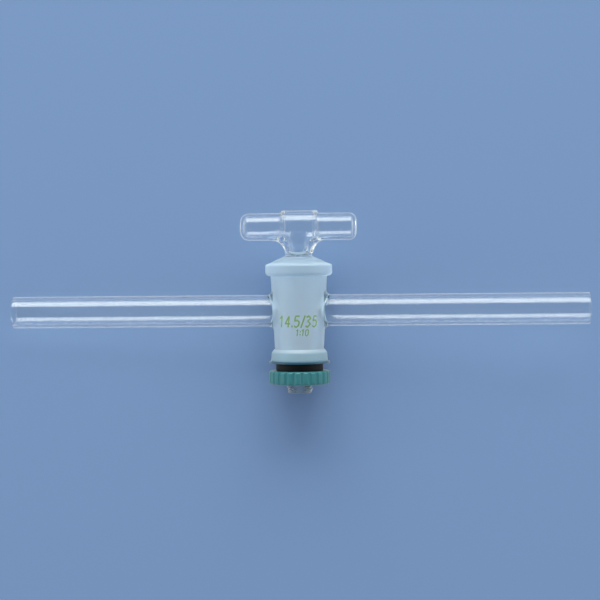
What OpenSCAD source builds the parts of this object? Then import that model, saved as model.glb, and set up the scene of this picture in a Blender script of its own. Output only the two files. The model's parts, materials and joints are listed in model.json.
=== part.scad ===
// Glass stopcock: a ground barrel with two fused side arms, a hollow plug with a T-handle, and the
// washer, rubber ring and nut that hold the plug in.
//
// Each sub-part is drawn upright, with Z along the plug's axis, the handle at the top and X along the
// side arms. Heights are measured from the point where the two axes cross. laid_down() then lays the
// stopcock as it rests on a bench: on the barrel's upper rim, the nut and the end of the left arm.

/* [Side arms] */
// Distance between the free ends of the two arms
overall_length = 200; // [120:1:300]
// Outer diameter of an arm
arm_od = 10.9; // [9:0.1:12]
// Wall thickness of an arm
arm_wall = 1; // [0.8:0.1:1.5]
// Radius to which the free ends are fire polished
fire_polish = 0.4; // [0.1:0.05:0.4]
// Angle at which an arm flares into the barrel
flare_angle = 20; // [15:1:25]
// How far the flare reaches along the arm
flare_length = 2; // [1.2:0.1:3]

/* [Ground cone] */
// Diameter of the barrel's bore at its mouth
cone_d = 14.5; // [13.5:0.1:16]
// Length along which the bore loses one unit of diameter
cone_taper = 10; // [8:0.5:14]
// Diameter of the way through the barrel's wall and the plug
way_d = 4; // [2:0.5:5]
// Radial clearance between the plug and the barrel
ground_gap = 0.05; // [0.02:0.01:0.09]

/* [Barrel] */
// Height of the barrel's mouth above the arms' axis
mouth_height = 17.7; // [16:0.1:22]
// Depth of the barrel's foot below the arms' axis
foot_depth = 17.5; // [15:0.1:22]
// Wall thickness of the barrel
barrel_wall = 2.8; // [2.2:0.1:3.4]
// Outer diameter of the upper rim
upper_rim_d = 23.2; // [22:0.1:26]
// Height of the upper rim
upper_rim_h = 4.6; // [3.5:0.1:6]
// Diameter at which the upper rim turns up into the mouth's lip
lip_d = 19.2; // [17.8:0.1:20.4]
// Height of the lip above the upper rim
lip_h = 1.1; // [0.6:0.1:1.5]
// Outer diameter of the lower rim
lower_rim_d = 19.7; // [18.4:0.1:22]
// Height of the lower rim
lower_rim_h = 4; // [3:0.1:5]

/* [Plug] */
// Wall thickness of the hollow plug
plug_wall = 1.5; // [1:0.1:2]
// Wall thickness of the tube that crosses the plug
cross_tube_wall = 1.2; // [0.8:0.1:1.4]
// Outer diameter of the neck
neck_d = 9.3; // [8.4:0.1:10.4]
// Wall thickness of the neck
neck_wall = 1.5; // [1.1:0.1:2]
// Slope of the shoulder between the ground cone and the neck
shoulder_angle = 27; // [20:1:35]

/* [Handle] */
// Height of the handle's axis above the arms' axis
handle_height = 29; // [28:0.1:34]
// Length of the handle
handle_length = 40.2; // [34:0.1:50]
// Diameter of the handle
handle_d = 9.4; // [9.2:0.1:10.2]
// Wall thickness of the handle
handle_wall = 0.9; // [0.7:0.1:1.3]
// Radius of the handle's closed ends
handle_round = 2.7; // [1.5:0.1:4]
// Diameter of the collar at the middle of the handle
collar_d = 11.2; // [10.8:0.1:13]
// Length of the collar
collar_length = 12.7; // [10:0.1:16]

/* [Threaded tail] */
// Diameter over the thread's crests
tail_d = 9; // [8:0.1:9.6]
// Distance across the two flats that key the washer
tail_flats = 7.8; // [6.8:0.1:7.9]
// Length of the tail below the nut
tail_proud = 3.2; // [2:0.1:6]

/* [Washer, ring and nut] */
// Outer diameter of the washer
washer_d = 21; // [19:0.1:23]
// Thickness of the washer
washer_t = 0.7; // [0.5:0.1:1.5]
// Clearance of the washer's keyed hole
key_gap = 0.1; // [0.05:0.01:0.2]
// Outer diameter of the rubber ring
ring_d = 16.3; // [14:0.1:18]
// Thickness of the rubber ring
ring_t = 2.6; // [1.5:0.1:4]
// Clearance of the ring's hole
ring_gap = 0.3; // [0.2:0.05:0.5]
// Outer diameter of the nut over its ribs
nut_d = 21.3; // [19:0.1:22]
// Height of the nut
nut_h = 4.6; // [3.5:0.1:6]
// Number of ribs round the nut
nut_ribs = 24; // [16:1:30]
// Depth of the grooves between the ribs
groove_depth = 0.45; // [0.2:0.05:0.6]
// Radius of the nut's rounded edges
nut_round = 0.8; // [0.4:0.1:1.2]
// Radial clearance between the nut and the thread's crests
nut_gap = 0.07; // [0.03:0.01:0.1]

/* [Hidden] */
$fn = 96;

// Segments of a quarter circle in a turned outline
arc_steps = 6;
// Length by which a cut runs past the face that it opens
past = 1;

arm_r = arm_od / 2;
arm_bore_r = arm_r - arm_wall;
half_length = overall_length / 2;
way_r = way_d / 2;

// Radius of the blend between an arm and its flare
flare_round = 3;
// Depth to which an arm's hollow reaches into the barrel's wall
root_sink = 0.5;
// Narrowing of an arm's hollow near its root, and the length over which it narrows
root_narrowing = 0.3;
root_run = 1.5;

upper_rim_r = upper_rim_d / 2;
lower_rim_r = lower_rim_d / 2;
upper_rim_top = mouth_height - lip_h;
upper_rim_foot = upper_rim_top - upper_rim_h;
lower_rim_top = -foot_depth + lower_rim_h;
// Roundings below and above the upper rim, and the width of the ground edge round the mouth
rim_under_round = 1.3;
rim_over_round = 0.9;
mouth_edge = 0.2;
// The crown of the upper rim falls away from the lip by this much, and ends in an arc of this angle
rim_crown = 0.45;
rim_crown_angle = 72;
// The lower rim spreads over the first stretch of its height, and is this much slimmer there
rim_spread_h = 1;
rim_spread = 0.3;
lower_rim_round = 0.35;

// The ground cone stands this much proud of the mouth, and stops this much short of the foot
cone_proud = 0.05;
cone_short = 0.8;
cone_top = mouth_height + cone_proud;
cone_foot = -foot_depth + cone_short;

neck_r = neck_d / 2;
neck_bore_r = neck_r - neck_wall;
neck_round = 0.5;
shoulder_top_r = neck_r + neck_round * (1 - sin(shoulder_angle));
shoulder_top = cone_top + (bore_r(cone_top) - ground_gap - shoulder_top_r) * tan(shoulder_angle);
neck_foot = shoulder_top + neck_round * cos(shoulder_angle);

handle_r = handle_d / 2;
handle_bore_r = handle_r - handle_wall;
handle_end = handle_length / 2;
collar_r = collar_d / 2;
collar_bore_r = collar_r - handle_wall;
collar_round = 0.5;
// The neck sweeps into the handle on both sides in a tube this much slimmer in radius than the neck
sweep_slim = 0.15;
swept_r = neck_r - sweep_slim;
// The sweep starts this far below the neck's foot, inside the shoulder
sweep_sink = 0.3;
sweep_r = handle_height - neck_foot + sweep_sink;

// Depth of the neck's cavity below the neck's foot, the chamfer round its floor, and the glass between
// it and the cone's cavity
cavity_sink = 0.4;
cavity_floor = neck_foot - cavity_sink;
cavity_chamfer = 0.8;
web = 2.6;
// Rounding at both ends of the plug's cavity
chamber_round = 2;

cross_tube_r = way_r + cross_tube_wall;

tail_r = tail_d / 2;
tail_chamfer = 0.5;
washer_top = -foot_depth;
ring_top = washer_top - washer_t;
nut_top = ring_top - ring_t;
nut_foot = nut_top - nut_h;
tail_end = nut_foot - tail_proud;
nut_r = nut_d / 2;
nut_bore_r = tail_r + nut_gap;
bore_chamfer = 0.4;
// Radius of a groove of the nut, as a share of half the ribs' spacing
groove_share = 0.6;
groove_r = groove_share * PI * nut_r / nut_ribs;

// Radius of the bore at a height
function bore_r(height) = cone_d / 2 - (mouth_height - height) / (2 * cone_taper);

// Outer radius of the barrel at a height, between its rims
function barrel_r(height) = bore_r(height) + barrel_wall;

// Points of an arc round centre c, between two angles
function arc(c, r, from, to, steps = arc_steps) =
    [for (i = [0:steps]) let (a = from + (to - from) * i / steps) c + r * [cos(a), sin(a)]];

// Lay of the plug's axis on the bench: the rounded edges of the upper rim and of the nut both touch it
rim_edge = [upper_rim_r - rim_under_round, upper_rim_foot + rim_under_round];
nut_edge = [nut_r - nut_round, nut_foot + nut_round];
edge_span = rim_edge - nut_edge;
lay_angle = atan2(edge_span[0], edge_span[1]) + asin((rim_under_round - nut_round) / norm(edge_span));
axis_height = rim_edge[0] * cos(lay_angle) - rim_edge[1] * sin(lay_angle) + rim_under_round;

// Roll round the plug's axis until the left arm's end touches the bench as well
tip_edge = [arm_r - fire_polish, half_length - fire_polish];
dip_angle = asin((axis_height - fire_polish) / norm(tip_edge)) - atan2(tip_edge[0], tip_edge[1]);
roll_angle = asin(sin(dip_angle) / cos(lay_angle));

// Middle of the stopcock between the top of the handle and the tip of the tail
mid_height = (handle_height + collar_r + tail_end) / 2;

module laid_down() {
    translate([0, -mid_height * cos(lay_angle), axis_height])
        rotate([lay_angle, 0, 0])
            rotate([0, -roll_angle, 0])
                rotate([-90, 0, 0])
                    children();
}

// Turns an outline drawn as [radius, distance along the arm] round the arms' axis
module turned_on_arm_axis() {
    rotate([0, 90, 0]) rotate_extrude() children();
}

module both_sides() {
    for (side = [0, 1]) mirror([side, 0, 0]) children();
}

module barrel_body() {
    rotate_extrude() polygon(concat(
        [[0, -foot_depth]],
        arc([lower_rim_r - lower_rim_round, -foot_depth + lower_rim_round], lower_rim_round, -90, 0),
        [
            [lower_rim_r - rim_spread, lower_rim_top - rim_spread_h],
            [barrel_r(lower_rim_top), lower_rim_top],
            [barrel_r(upper_rim_foot), upper_rim_foot]
        ],
        arc(rim_edge, rim_under_round, -90, 0),
        arc([upper_rim_r - rim_over_round, upper_rim_top - rim_crown - rim_over_round],
            rim_over_round, 0, rim_crown_angle),
        [
            [lip_d / 2, upper_rim_top],
            [cone_d / 2 + mouth_edge, mouth_height],
            [0, mouth_height]
        ]
    ));
}

module arm_outside() {
    root = bore_r(0) - past;
    flare_start = barrel_r(0) + flare_length;
    flare_end = flare_start - flare_round * sin(flare_angle);
    turned_on_arm_axis() polygon(concat(
        [
            [0, root],
            [arm_r + flare_round * (1 - cos(flare_angle)) + (flare_end - root) * tan(flare_angle), root]
        ],
        arc([arm_r + flare_round, flare_start], flare_round, 180 + flare_angle, 180),
        arc(tip_edge, fire_polish, 0, 90),
        [[0, half_length]]
    ));
}

// An arm's hollow ends on the barrel's wall, which stands convex in it, and the way goes on through
module arm_inside() {
    seat = barrel_r(0);
    difference() {
        turned_on_arm_axis() polygon(concat(
            [
                [0, 0],
                [arm_bore_r - root_narrowing, 0],
                [arm_bore_r - root_narrowing, seat],
                [arm_bore_r, seat + root_run]
            ],
            arc([arm_bore_r + fire_polish, half_length - fire_polish], fire_polish, 180, 90),
            [
                [arm_bore_r + fire_polish, half_length + past],
                [0, half_length + past]
            ]
        ));
        translate([0, 0, -arm_r])
            cylinder(
                h = 2 * arm_r,
                r1 = barrel_r(-arm_r) - root_sink,
                r2 = barrel_r(arm_r) - root_sink
            );
    }
    rotate([0, 90, 0]) cylinder(h = seat, r = way_r);
}

module barrel() {
    color("LightBlue", 0.5) difference() {
        union() {
            barrel_body();
            both_sides() arm_outside();
        }
        translate([0, 0, -foot_depth - past])
            cylinder(
                h = mouth_height + foot_depth + 2 * past,
                r1 = bore_r(-foot_depth - past),
                r2 = bore_r(mouth_height + past)
            );
        both_sides() arm_inside();
    }
}

module plug_body() {
    rotate_extrude() polygon(concat(
        [
            [0, tail_end],
            [tail_r - tail_chamfer, tail_end],
            [tail_r, tail_end + tail_chamfer],
            [tail_r, cone_foot],
            [bore_r(cone_foot) - ground_gap, cone_foot],
            [bore_r(cone_top) - ground_gap, cone_top]
        ],
        arc([neck_r + neck_round, neck_foot], neck_round, 270 - shoulder_angle, 180),
        [
            [neck_r, neck_foot + neck_r / 2],
            [0, neck_foot + neck_r / 2]
        ]
    ));
}

// A quarter of a ring that leads from the neck to one side of the handle
module sweep(r) {
    translate([sweep_r, 0, handle_height - sweep_r])
        rotate([90, 0, 0])
            rotate([0, 0, 90])
                rotate_extrude(angle = 90)
                    translate([sweep_r, 0])
                        circle(r = r);
}

// The handle's round bar or its cavity: a turned bar with rounded ends, thicker at the collar
module handle_bar(r, end, end_round, collar, collar_end, edge) {
    translate([0, 0, handle_height])
        turned_on_arm_axis() union() {
            polygon(concat(
                [[0, -end]],
                arc([r - end_round, -end + end_round], end_round, -90, 0),
                arc([r - end_round, end - end_round], end_round, 0, 90),
                [[0, end]]
            ));
            polygon(concat(
                [[0, -collar_end]],
                arc([collar - edge, -collar_end + edge], edge, -90, 0, 3),
                arc([collar - edge, collar_end - edge], edge, 0, 90, 3),
                [[0, collar_end]]
            ));
        }
}

// The hollow of the handle and the neck, closed at the neck's foot
module handle_hollow() {
    handle_bar(
        handle_bore_r, handle_end - handle_wall, handle_round - handle_wall,
        collar_bore_r, collar_length / 2 - handle_wall, collar_round
    );
    both_sides() sweep(swept_r - neck_wall);
    rotate_extrude() polygon([
        [0, cavity_floor],
        [neck_bore_r - cavity_chamfer, cavity_floor],
        [neck_bore_r, cavity_floor + cavity_chamfer],
        [neck_bore_r, neck_foot + neck_r / 2],
        [0, neck_foot + neck_r / 2]
    ]);
}

// The hollow of the ground cone, with the cross tube left standing in it
module cone_hollow() {
    top = cavity_floor - web;
    foot = cone_foot + plug_wall;
    inner = -ground_gap - plug_wall;
    difference() {
        rotate_extrude() polygon(concat(
            [[0, foot]],
            arc([bore_r(foot) + inner - chamber_round, foot + chamber_round], chamber_round, -90, 0),
            arc([bore_r(top) + inner - chamber_round, top - chamber_round], chamber_round, 0, 90),
            [[0, top]]
        ));
        rotate([0, 90, 0]) cylinder(h = cone_d, r = cross_tube_r, center = true);
    }
}

module tail_flat_cuts() {
    depth = cone_foot - tail_end + past;
    for (side = [-1, 1])
        translate([-tail_r - past, side * (tail_flats / 2 + tail_r) - tail_r, tail_end - past])
            cube([tail_d + 2 * past, tail_d, depth]);
}

module plug() {
    color("AliceBlue", 0.6) difference() {
        union() {
            plug_body();
            both_sides() sweep(swept_r);
            handle_bar(
                handle_r, handle_end, handle_round,
                collar_r, collar_length / 2, collar_round
            );
        }
        handle_hollow();
        cone_hollow();
        rotate([0, 90, 0]) cylinder(h = cone_d + 2 * past, r = way_r, center = true);
        tail_flat_cuts();
    }
}

module washer() {
    color("DarkSlateGray") translate([0, 0, ring_top]) difference() {
        cylinder(h = washer_t, d = washer_d);
        translate([0, 0, -past]) intersection() {
            cylinder(h = washer_t + 2 * past, r = tail_r + key_gap);
            translate([-tail_d, -tail_flats / 2 - key_gap, 0])
                cube([2 * tail_d, tail_flats + 2 * key_gap, washer_t + 2 * past]);
        }
    }
}

module rubber_ring() {
    color("Black") translate([0, 0, nut_top]) difference() {
        cylinder(h = ring_t, d = ring_d);
        translate([0, 0, -past]) cylinder(h = ring_t + 2 * past, r = tail_r + ring_gap);
    }
}

module nut() {
    color("SeaGreen") difference() {
        rotate_extrude() polygon(concat(
            [
                [nut_bore_r + bore_chamfer, nut_foot],
                [nut_bore_r, nut_foot + bore_chamfer],
                [nut_bore_r, nut_top - bore_chamfer],
                [nut_bore_r + bore_chamfer, nut_top]
            ],
            arc([nut_r - nut_round, nut_top - nut_round], nut_round, 90, 0),
            arc(nut_edge, nut_round, 0, -90)
        ));
        for (i = [0:nut_ribs - 1])
            rotate([0, 0, (i + 0.5) * 360 / nut_ribs])
                translate([nut_r - groove_depth + groove_r, 0, nut_foot - past])
                    cylinder(h = nut_h + 2 * past, r = groove_r, $fn = 24);
    }
}

laid_down() barrel();
laid_down() plug();
laid_down() washer();
laid_down() rubber_ring();
laid_down() nut();
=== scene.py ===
"""Glass stopcock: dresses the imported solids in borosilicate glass, ground glass, plastic and rubber.

Every form is worked out upright, in millimetres: X along the side arms, Z up the plug's axis to the
handle, heights measured from the point where the two axes cross. placed() lays it down in the frame.
"""

import json
from math import atan, copysign, cos, degrees, pi, radians, sin

import bmesh
import bpy
import numpy as np
from bpy.props import FloatProperty, FloatVectorProperty, IntProperty, PointerProperty
from mathutils import Matrix


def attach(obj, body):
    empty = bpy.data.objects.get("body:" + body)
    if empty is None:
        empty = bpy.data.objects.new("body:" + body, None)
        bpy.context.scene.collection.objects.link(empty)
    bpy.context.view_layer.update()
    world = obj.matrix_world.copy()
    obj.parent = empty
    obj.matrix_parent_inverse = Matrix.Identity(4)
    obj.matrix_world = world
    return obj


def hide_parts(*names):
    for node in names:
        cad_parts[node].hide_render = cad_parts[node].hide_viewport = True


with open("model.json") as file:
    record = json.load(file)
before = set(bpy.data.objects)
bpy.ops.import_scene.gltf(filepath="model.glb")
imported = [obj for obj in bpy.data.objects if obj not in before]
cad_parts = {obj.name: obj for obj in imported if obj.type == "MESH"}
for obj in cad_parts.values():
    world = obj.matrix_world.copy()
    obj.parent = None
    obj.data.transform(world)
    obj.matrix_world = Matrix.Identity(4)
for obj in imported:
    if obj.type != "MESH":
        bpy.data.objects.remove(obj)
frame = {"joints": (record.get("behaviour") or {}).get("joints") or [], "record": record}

bl_info = {
    "name": "Glass Stopcock",
    "version": (1, 0, 0),
    "blender": (4, 5, 0),
    "location": "View3D > Sidebar > Stopcock",
    "description": "Builds the glass, the seals, the nut and the stage of a laboratory stopcock",
    "category": "Object",
}


# ---- frame

def named(items, name):
    return next(item for item in items if item["name"] == name)


TURN = named(frame["joints"], "plug_turn")
ARM_HOLE = named(frame["record"]["mounts"], "right_arm_bore")
CROSSING = np.array(TURN["pos_m"])
PLUG_AXIS = np.array(TURN["axis"])
ARM_AXIS = np.array(ARM_HOLE["axis"])
UPRIGHT = np.stack([ARM_AXIS, np.cross(PLUG_AXIS, ARM_AXIS), PLUG_AXIS])
ARM_R = named(frame["record"]["mounts"], "right_arm_outside")["dims"]["r_mm"]
ARM_BORE_R = ARM_HOLE["dims"]["r_mm"]


def placed(points):
    """Upright millimetres to metres in the frame: the crossing plus x, y, z times the three axes."""
    return CROSSING + 0.001 * points @ UPRIGHT


# ---- sizes and colours

def length(label, text, value):
    return FloatProperty(name=label, description=text, default=value, min=0.0, unit="NONE", precision=3)


def brightness(label, text, value):
    return FloatProperty(name=label, description=text, default=value, min=0)


def paint(label, text, code):
    return FloatVectorProperty(
        name=label, description=text, default=linear(code)[:3], size=3, min=0, max=1, subtype="COLOR"
    )


def linear(code):
    """An sRGB colour written as rrggbb, as linear RGBA: ((c + 0.055) / 1.055) ** 2.4 past 0.04045."""
    c = np.array([int(code[i:i + 2], 16) for i in (0, 2, 4)]) / 255
    c = np.where(c <= 0.04045, c / 12.92, ((c + 0.055) / 1.055) ** 2.4)
    return (*c.tolist(), 1.0)


class BarrelSizes(bpy.types.PropertyGroup):
    """Sizes of the barrel and its side arms, in millimetres."""

    half_length: length("Half length", "From the plug's axis to an arm's free end", 100)
    polish_left: length("Left end polish", "Radius of the flame-polished left end", 0.4)
    polish_right: length("Right end polish", "Radius of the flame-polished right end", 0.3)
    seal: length("Seal fillet", "Height of the fillet at an arm's seal", 1.7)
    seal_run: length("Seal run", "Length of the fillet at an arm's seal", 1.7)
    root_sink: length("Root sink", "How far an arm's hollow reaches into the barrel's wall", 0.5)
    frost_edge: length("Edge of the frost", "How far out from the plug's axis the arms are etched", 8.8)
    root_round: length("Root rounding", "Height of the fillet inside an arm's root", 0.7)
    root_run: length("Root run", "Length of the fillet inside an arm's root", 1.2)
    way_round: length("Way rounding", "Radius of the melted edge of the way", 0.3)
    way_r: length("Way radius", "Radius of the way through the wall and the plug", 2)
    cone_r: length("Mouth radius", "Radius of the ground bore at its mouth", 7.25)
    slope: length("Slope", "Radius lost for each millimetre of the ground bore", 0.05)
    wall: length("Barrel wall", "Thickness of the barrel's wall between its rims", 2.8)
    mouth: length("Mouth height", "Height of the mouth above the arms' axis", 17.7)
    foot: length("Foot depth", "Depth of the foot below the arms' axis", 17.5)
    rim_r: length("Upper rim radius", "Outer radius of the upper rim", 11.6)
    rim_h: length("Upper rim height", "Height of the upper rim", 4.6)
    lip_r: length("Lip radius", "Radius at which the rim turns up into the lip", 9.6)
    lip_h: length("Lip height", "Height of the lip above the rim", 1.1)
    low_rim_r: length("Lower rim radius", "Outer radius of the lower rim", 9.85)
    low_rim_h: length("Lower rim height", "Height of the lower rim", 4)


class PlugSizes(bpy.types.PropertyGroup):
    """Sizes of the plug, in millimetres."""

    gap: length("Ground gap", "Radial clearance between the plug and the barrel", 0.05)
    wall: length("Plug wall", "Thickness of the hollow cone's wall", 1.5)
    tube_wall: length("Cross tube wall", "Thickness of the tube that crosses the plug", 1.2)
    neck_r: length("Neck radius", "Outer radius of the neck", 4.65)
    neck_swell: length("Neck swell", "How much deeper the neck is where it meets the handle", 1.0)
    neck_bore_r: length("Neck bore radius", "Radius of the hollow at the neck's foot", 2.6)
    shoulder: length("Shoulder slope", "Rise of the shoulder for each millimetre inwards", 0.45)
    neck_round: length("Neck fillet", "Radius of the fillet at the neck's foot", 0.3)
    handle_z: length("Handle height", "Height of the handle's axis above the arms' axis", 29)
    handle_end: length("Handle half length", "From the plug's axis to the handle's end", 20.1)
    collar_x: length("Collar offset", "How far the collar's middle lies right of the plug's axis", 0.35)
    handle_r: length("Handle radius", "Outer radius of the handle", 4.7)
    handle_wall: length("Handle wall", "Thickness of the handle's wall", 0.9)
    round_left: length("Left rounding", "Radius of the handle's left end", 2.8)
    round_right: length("Right rounding", "Radius of the handle's right end", 2.4)
    collar_r: length("Collar radius", "Outer radius of the collar round the handle", 5.6)
    collar_half: length("Collar half length", "Half the collar's length", 6.35)
    bubble_r: length("Bubble radius", "Radius of the air bubble left in the neck's glass", 0.45)
    tail_r: length("Tail radius", "Radius over the thread's crests", 4.5)
    flat: length("Flat distance", "From the axis to a flat of the tail", 3.9)
    depth: length("Thread depth", "Height of the thread's crests over its roots", 0.5)
    lead: length("Thread lead", "Rise of the thread in one turn", 1.6)
    tail_end: length("Tail end", "Depth of the tail's end below the arms' axis", 28.6)


class SealSizes(bpy.types.PropertyGroup):
    """Sizes of the washer, rubber ring and nut, in millimetres."""

    washer_r: length("Washer radius", "Outer radius of the washer", 10.5)
    washer_t: length("Washer thickness", "Thickness of the washer", 0.7)
    key_gap: length("Key gap", "Clearance of the washer's keyed hole", 0.1)
    ring_r: length("Ring radius", "Outer radius of the rubber ring", 8.15)
    ring_t: length("Ring thickness", "Thickness of the rubber ring", 2.6)
    ring_gap: length("Ring gap", "Clearance of the rubber ring's hole", 0.3)
    nut_r: length("Nut radius", "Outer radius of the nut over its ribs", 10.65)
    nut_h: length("Nut height", "Height of the nut", 4.6)
    nut_round: length("Nut rounding", "Radius of the nut's edges", 0.8)
    ribs: IntProperty(name="Ribs", description="Number of finger ribs round the nut", default=24, min=6)
    groove: length("Groove depth", "Depth of the grooves between the ribs", 0.45)


class Finishes(bpy.types.PropertyGroup):
    """Colours of the finishes and of the stage, and the level of the lamps."""

    tint: paint("Glass tint", "Colour that a thick piece of the glass takes", "d9eef2")
    ground: paint("Ground glass", "Colour of the ground faces", "daecfc")
    # Painted shade: the washer is given the dark blue-teal that the thin washer shows in the shade
    # under the barrel's foot
    washer: paint("Washer", "Colour of the hard plastic washer", "265066")
    # Painted shade: the foot rim's colour is darker than the rest of the etched glass, for the shade
    # that falls on the barrel's foot
    rim: paint("Foot rim", "Colour of the thick etched rim at the barrel's foot", "c4e4f4")
    rubber: paint("Rubber", "Colour of the rubber ring", "060a10")
    nut: paint("Nut", "Colour of the moulded nut", "2a7078")
    mark: paint("Mark", "Colour of the fired enamel", "7d9f5e")
    floor: paint("Floor", "Colour of the floor", "748eb7")
    sky: paint("Surroundings", "Colour of the light from all round", "e6ecf2")
    lamp: brightness("Lamp", "Brightness of the softboxes", 3.2)
    ambient: brightness("Ambient", "Brightness from all round", 0.65)
    horizon: brightness("Horizon", "Brightness mirrored from low down", 0.85)
    zenith: brightness("Zenith", "Brightness mirrored from overhead", 0.2)


class Stopcock(bpy.types.PropertyGroup):
    """All that can be changed on the stopcock."""

    barrel: PointerProperty(name="Barrel", description="Barrel and side arms", type=BarrelSizes)
    plug: PointerProperty(name="Plug", description="Plug and its handle", type=PlugSizes)
    seal: PointerProperty(name="Seal", description="Washer, ring and nut", type=SealSizes)
    finish: PointerProperty(name="Finish", description="Colours and lamps", type=Finishes)


# ---- surfaces

AROUND = 192   # columns of a lathed surface
ACROSS = 96    # of these, the columns that face one arm
UP = 32        # rows of a band that holds a hole
FAR = 99.0     # a distance beyond every surface
WELD = 2e-6    # metres within which two points become one


def arc(centre, radius, start, stop, steps):
    """Points centre + radius (cos a, sin a), for a from start to stop in degrees."""
    a = np.radians(np.linspace(start, stop, steps + 1))
    return np.array(centre) + radius * np.stack([np.cos(a), np.sin(a)], -1)


def line(start, stop, steps):
    """Evenly spaced points from start up to, and without, stop."""
    return np.linspace(start, stop, steps, endpoint=False)


def outline(*pieces):
    """Single points and rows of points, joined into one profile."""
    return np.concatenate([np.atleast_2d(np.array(p, float)) for p in pieces])


def on_cone(radius_at, start, stop, steps):
    """Evenly spaced points (r, z) of a conical wall, from one height to another, both included."""
    return np.linspace([radius_at(start), start], [radius_at(stop), stop], steps + 1)


def circle(columns):
    """The angles of evenly spaced columns, from -90 degrees."""
    return np.radians(-90 + 360 * np.arange(columns) / columns)


def turned(r, a, z):
    """Points round Z: (r cos a, r sin a, z)."""
    return np.stack([r * np.cos(a), r * np.sin(a), z + 0 * a], -1)


def ringed(x, r, a, z=0):
    """Points round a line along X at the height z: (x, r cos a, z + r sin a)."""
    return np.stack([x + 0 * a, r * np.cos(a), z + r * np.sin(a)], -1)


def lathe(profile, columns=AROUND):
    """Each (r, z) of the profile, turned round Z."""
    return turned(profile[:, :1], circle(columns), profile[:, 1:])


def band_edge():
    """The edge of the square from -1 to 1, anticlockwise from its lower left corner, as (u, v)."""
    u, v = np.linspace(-1, 1, ACROSS + 1), np.linspace(-1, 1, UP + 1)
    one = np.ones(1)
    return (
        np.concatenate([u[:-1], one.repeat(UP), u[:0:-1], -one.repeat(UP)]),
        np.concatenate([-one.repeat(ACROSS), v[:-1], one.repeat(ACROSS), v[:0:-1]]),
    )


EDGE_U, EDGE_V = band_edge()
HOLE_ANGLE = np.arctan2(EDGE_V, EDGE_U)


def on_turned(radius_at, rho):
    """Where a tube of radius rho along X meets the turned surface: x = sqrt(r(z)^2 - y^2), with
    y = rho cos p and z = rho sin p for each hole angle p."""
    y, z = rho * np.cos(HOLE_ANGLE), rho * np.sin(HOLE_ANGLE)
    return np.sqrt(radius_at(z) ** 2 - y ** 2), y, z


def band(radius_at, rho, low, high, rows):
    """Half of a turned surface between two heights, with a round hole for a tube along X. The pair
    (angle round Z, height) runs in a straight line from the hole's edge to the band's edge."""
    x, y, z = on_turned(radius_at, rho)
    s = np.linspace(0, 1, rows + 1)[:, None]
    s = s * (0.45 + 0.55 * s)   # rows stand closer together at the hole
    turn = (1 - s) * np.arctan2(y, x) + s * EDGE_U * pi / 2
    height = (1 - s) * z + s * ((low + high) / 2 + EDGE_V * (high - low) / 2)
    return turned(radius_at(height), turn, height)


def tube(rho, x):
    """Rings along X: (x, rho cos p, rho sin p) for each hole angle p. x may differ along a ring."""
    rho, x = np.broadcast_arrays(np.atleast_2d(rho), np.atleast_2d(x))
    return ringed(x, rho, HOLE_ANGLE)


def to_axis(radius_at, rho, rings):
    """Half of a tube that crosses a turned wall: rings from the wall to the middle."""
    return tube(rho, np.linspace(1, 0, rings)[:, None] * on_turned(radius_at, rho)[0])


def left(grid):
    """The same grid on the other side: x turned to -x."""
    return grid * [-1, 1, 1]


def smooth_min(a, b, k):
    """The lower of two fields, rounded over a stretch k: min(a, b) - max(k - |a - b|, 0)^2 / 4k."""
    k = np.maximum(k, 1e-6)
    return np.minimum(a, b) - np.maximum(k - np.abs(a - b), 0) ** 2 / (4 * k)


def ease(x):
    """A smooth step from 0 to 1: x^2 (3 - 2x), with x held between 0 and 1."""
    x = np.clip(x, 0, 1)
    return x * x * (3 - 2 * x)


def cast(start, ray, field, far):
    """The points where rays leave a star-shaped solid: halving, 40 times, of the stretch from 0.5
    off the start, where the field is below 0, to far, where it is above."""
    near, far = np.full(ray.shape[:-1], 0.5), np.full(ray.shape[:-1], far)
    for _ in range(40):
        half = (near + far) / 2
        inside = field(start + half[..., None] * ray) < 0
        near, far = np.where(inside, half, near), np.where(inside, far, half)
    return start + half[..., None] * ray


class Shell:
    """A closed surface, sewn from grids of points that share their edges."""

    def __init__(self, hollow=False):
        self.grids, self.hollow = [], hollow

    def add(self, *grids, finish=0, closed=True):
        self.grids += [(g, finish, closed) for g in grids]
        return self

    def sewn(self):
        """The shell as a bmesh: grids to quads, doubles merged, faces turned out, or in if hollow."""
        points, quads, finishes, count = [], [], [], 0
        for grid, finish, closed in self.grids:
            rows, columns = grid.shape[:2]
            index = count + np.arange(rows * columns).reshape(rows, columns)
            count += index.size
            if closed:
                index = np.concatenate([index, index[:, :1]], 1)
            quad = np.stack([index[:-1, :-1], index[:-1, 1:], index[1:, 1:], index[1:, :-1]], -1)
            quads.append(quad.reshape(-1, 4))
            finishes.append((finish + np.zeros(quad.shape[:2])).ravel())
            points.append(grid.reshape(-1, 3))
        mesh = filled_mesh("shell", placed(np.concatenate(points)), np.concatenate(quads))
        mesh.polygons.foreach_set("material_index", np.concatenate(finishes).astype(np.int32))
        work = bmesh.new()
        work.from_mesh(mesh)
        bpy.data.meshes.remove(mesh)
        bmesh.ops.remove_doubles(work, verts=work.verts, dist=WELD)
        bmesh.ops.recalc_face_normals(work, faces=work.faces)
        if self.hollow:
            bmesh.ops.reverse_faces(work, faces=work.faces)
        return work


def filled_mesh(name, points, quads):
    """A mesh from whole arrays of points and of quads."""
    mesh = bpy.data.meshes.new(name)
    mesh.vertices.add(len(points))
    mesh.vertices.foreach_set("co", points.astype(np.float32).ravel())
    mesh.loops.add(quads.size)
    mesh.loops.foreach_set("vertex_index", quads.astype(np.int32).ravel())
    mesh.polygons.add(len(quads))
    mesh.polygons.foreach_set("loop_start", np.arange(0, quads.size, 4, dtype=np.int32))
    mesh.update(calc_edges=True)
    return mesh


def linked(name, data):
    """A new object, linked to the scene."""
    thing = bpy.data.objects.new(name, data)
    bpy.context.scene.collection.objects.link(thing)
    return thing


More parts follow.
